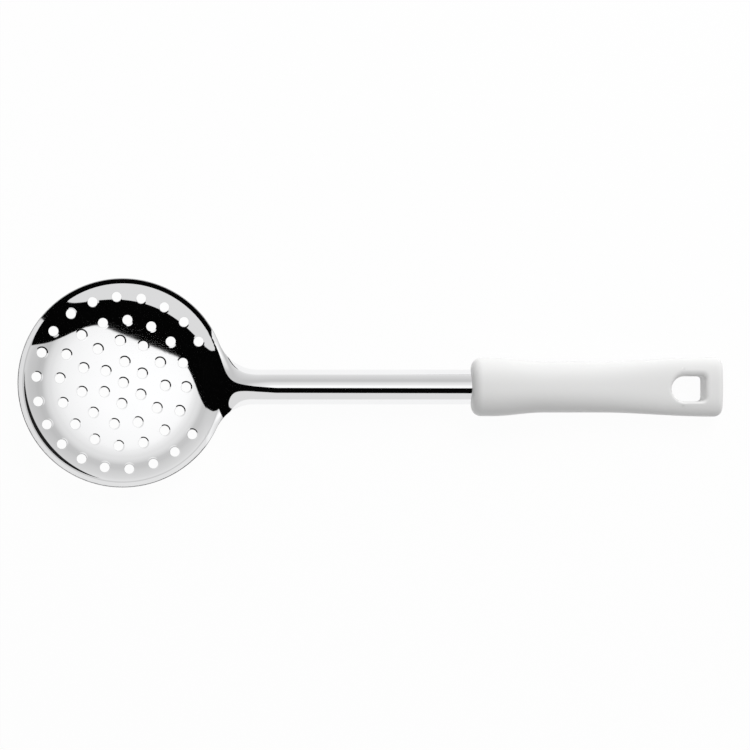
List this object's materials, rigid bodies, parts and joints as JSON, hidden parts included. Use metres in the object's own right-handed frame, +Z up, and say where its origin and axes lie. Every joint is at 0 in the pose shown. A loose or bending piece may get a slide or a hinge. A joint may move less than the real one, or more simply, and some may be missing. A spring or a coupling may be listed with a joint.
{
  "type": "skimmer",
  "caption": "Kitchen skimmer: a shallow perforated steel bowl with a half-round stem in one sheet, and a moulded grip with a hang hole.",
  "frame": {"origin": "on the surface that it lies on, below the middle of its bounding box", "axes": "+X along the stem from the bowl to the grip's butt, +Z up out of the bowl's open side, +Y to the left seen from the bowl"},
  "size_m": [0.3359, 0.1, 0.019],
  "materials": {
    "steel": "mirror-polished stainless steel sheet",
    "grip": "satin white moulded plastic"
  },
  "bodies": {
    "root": {"bowl_and_stem": "steel", "handle": "grip"}
  },
  "joints": []
}
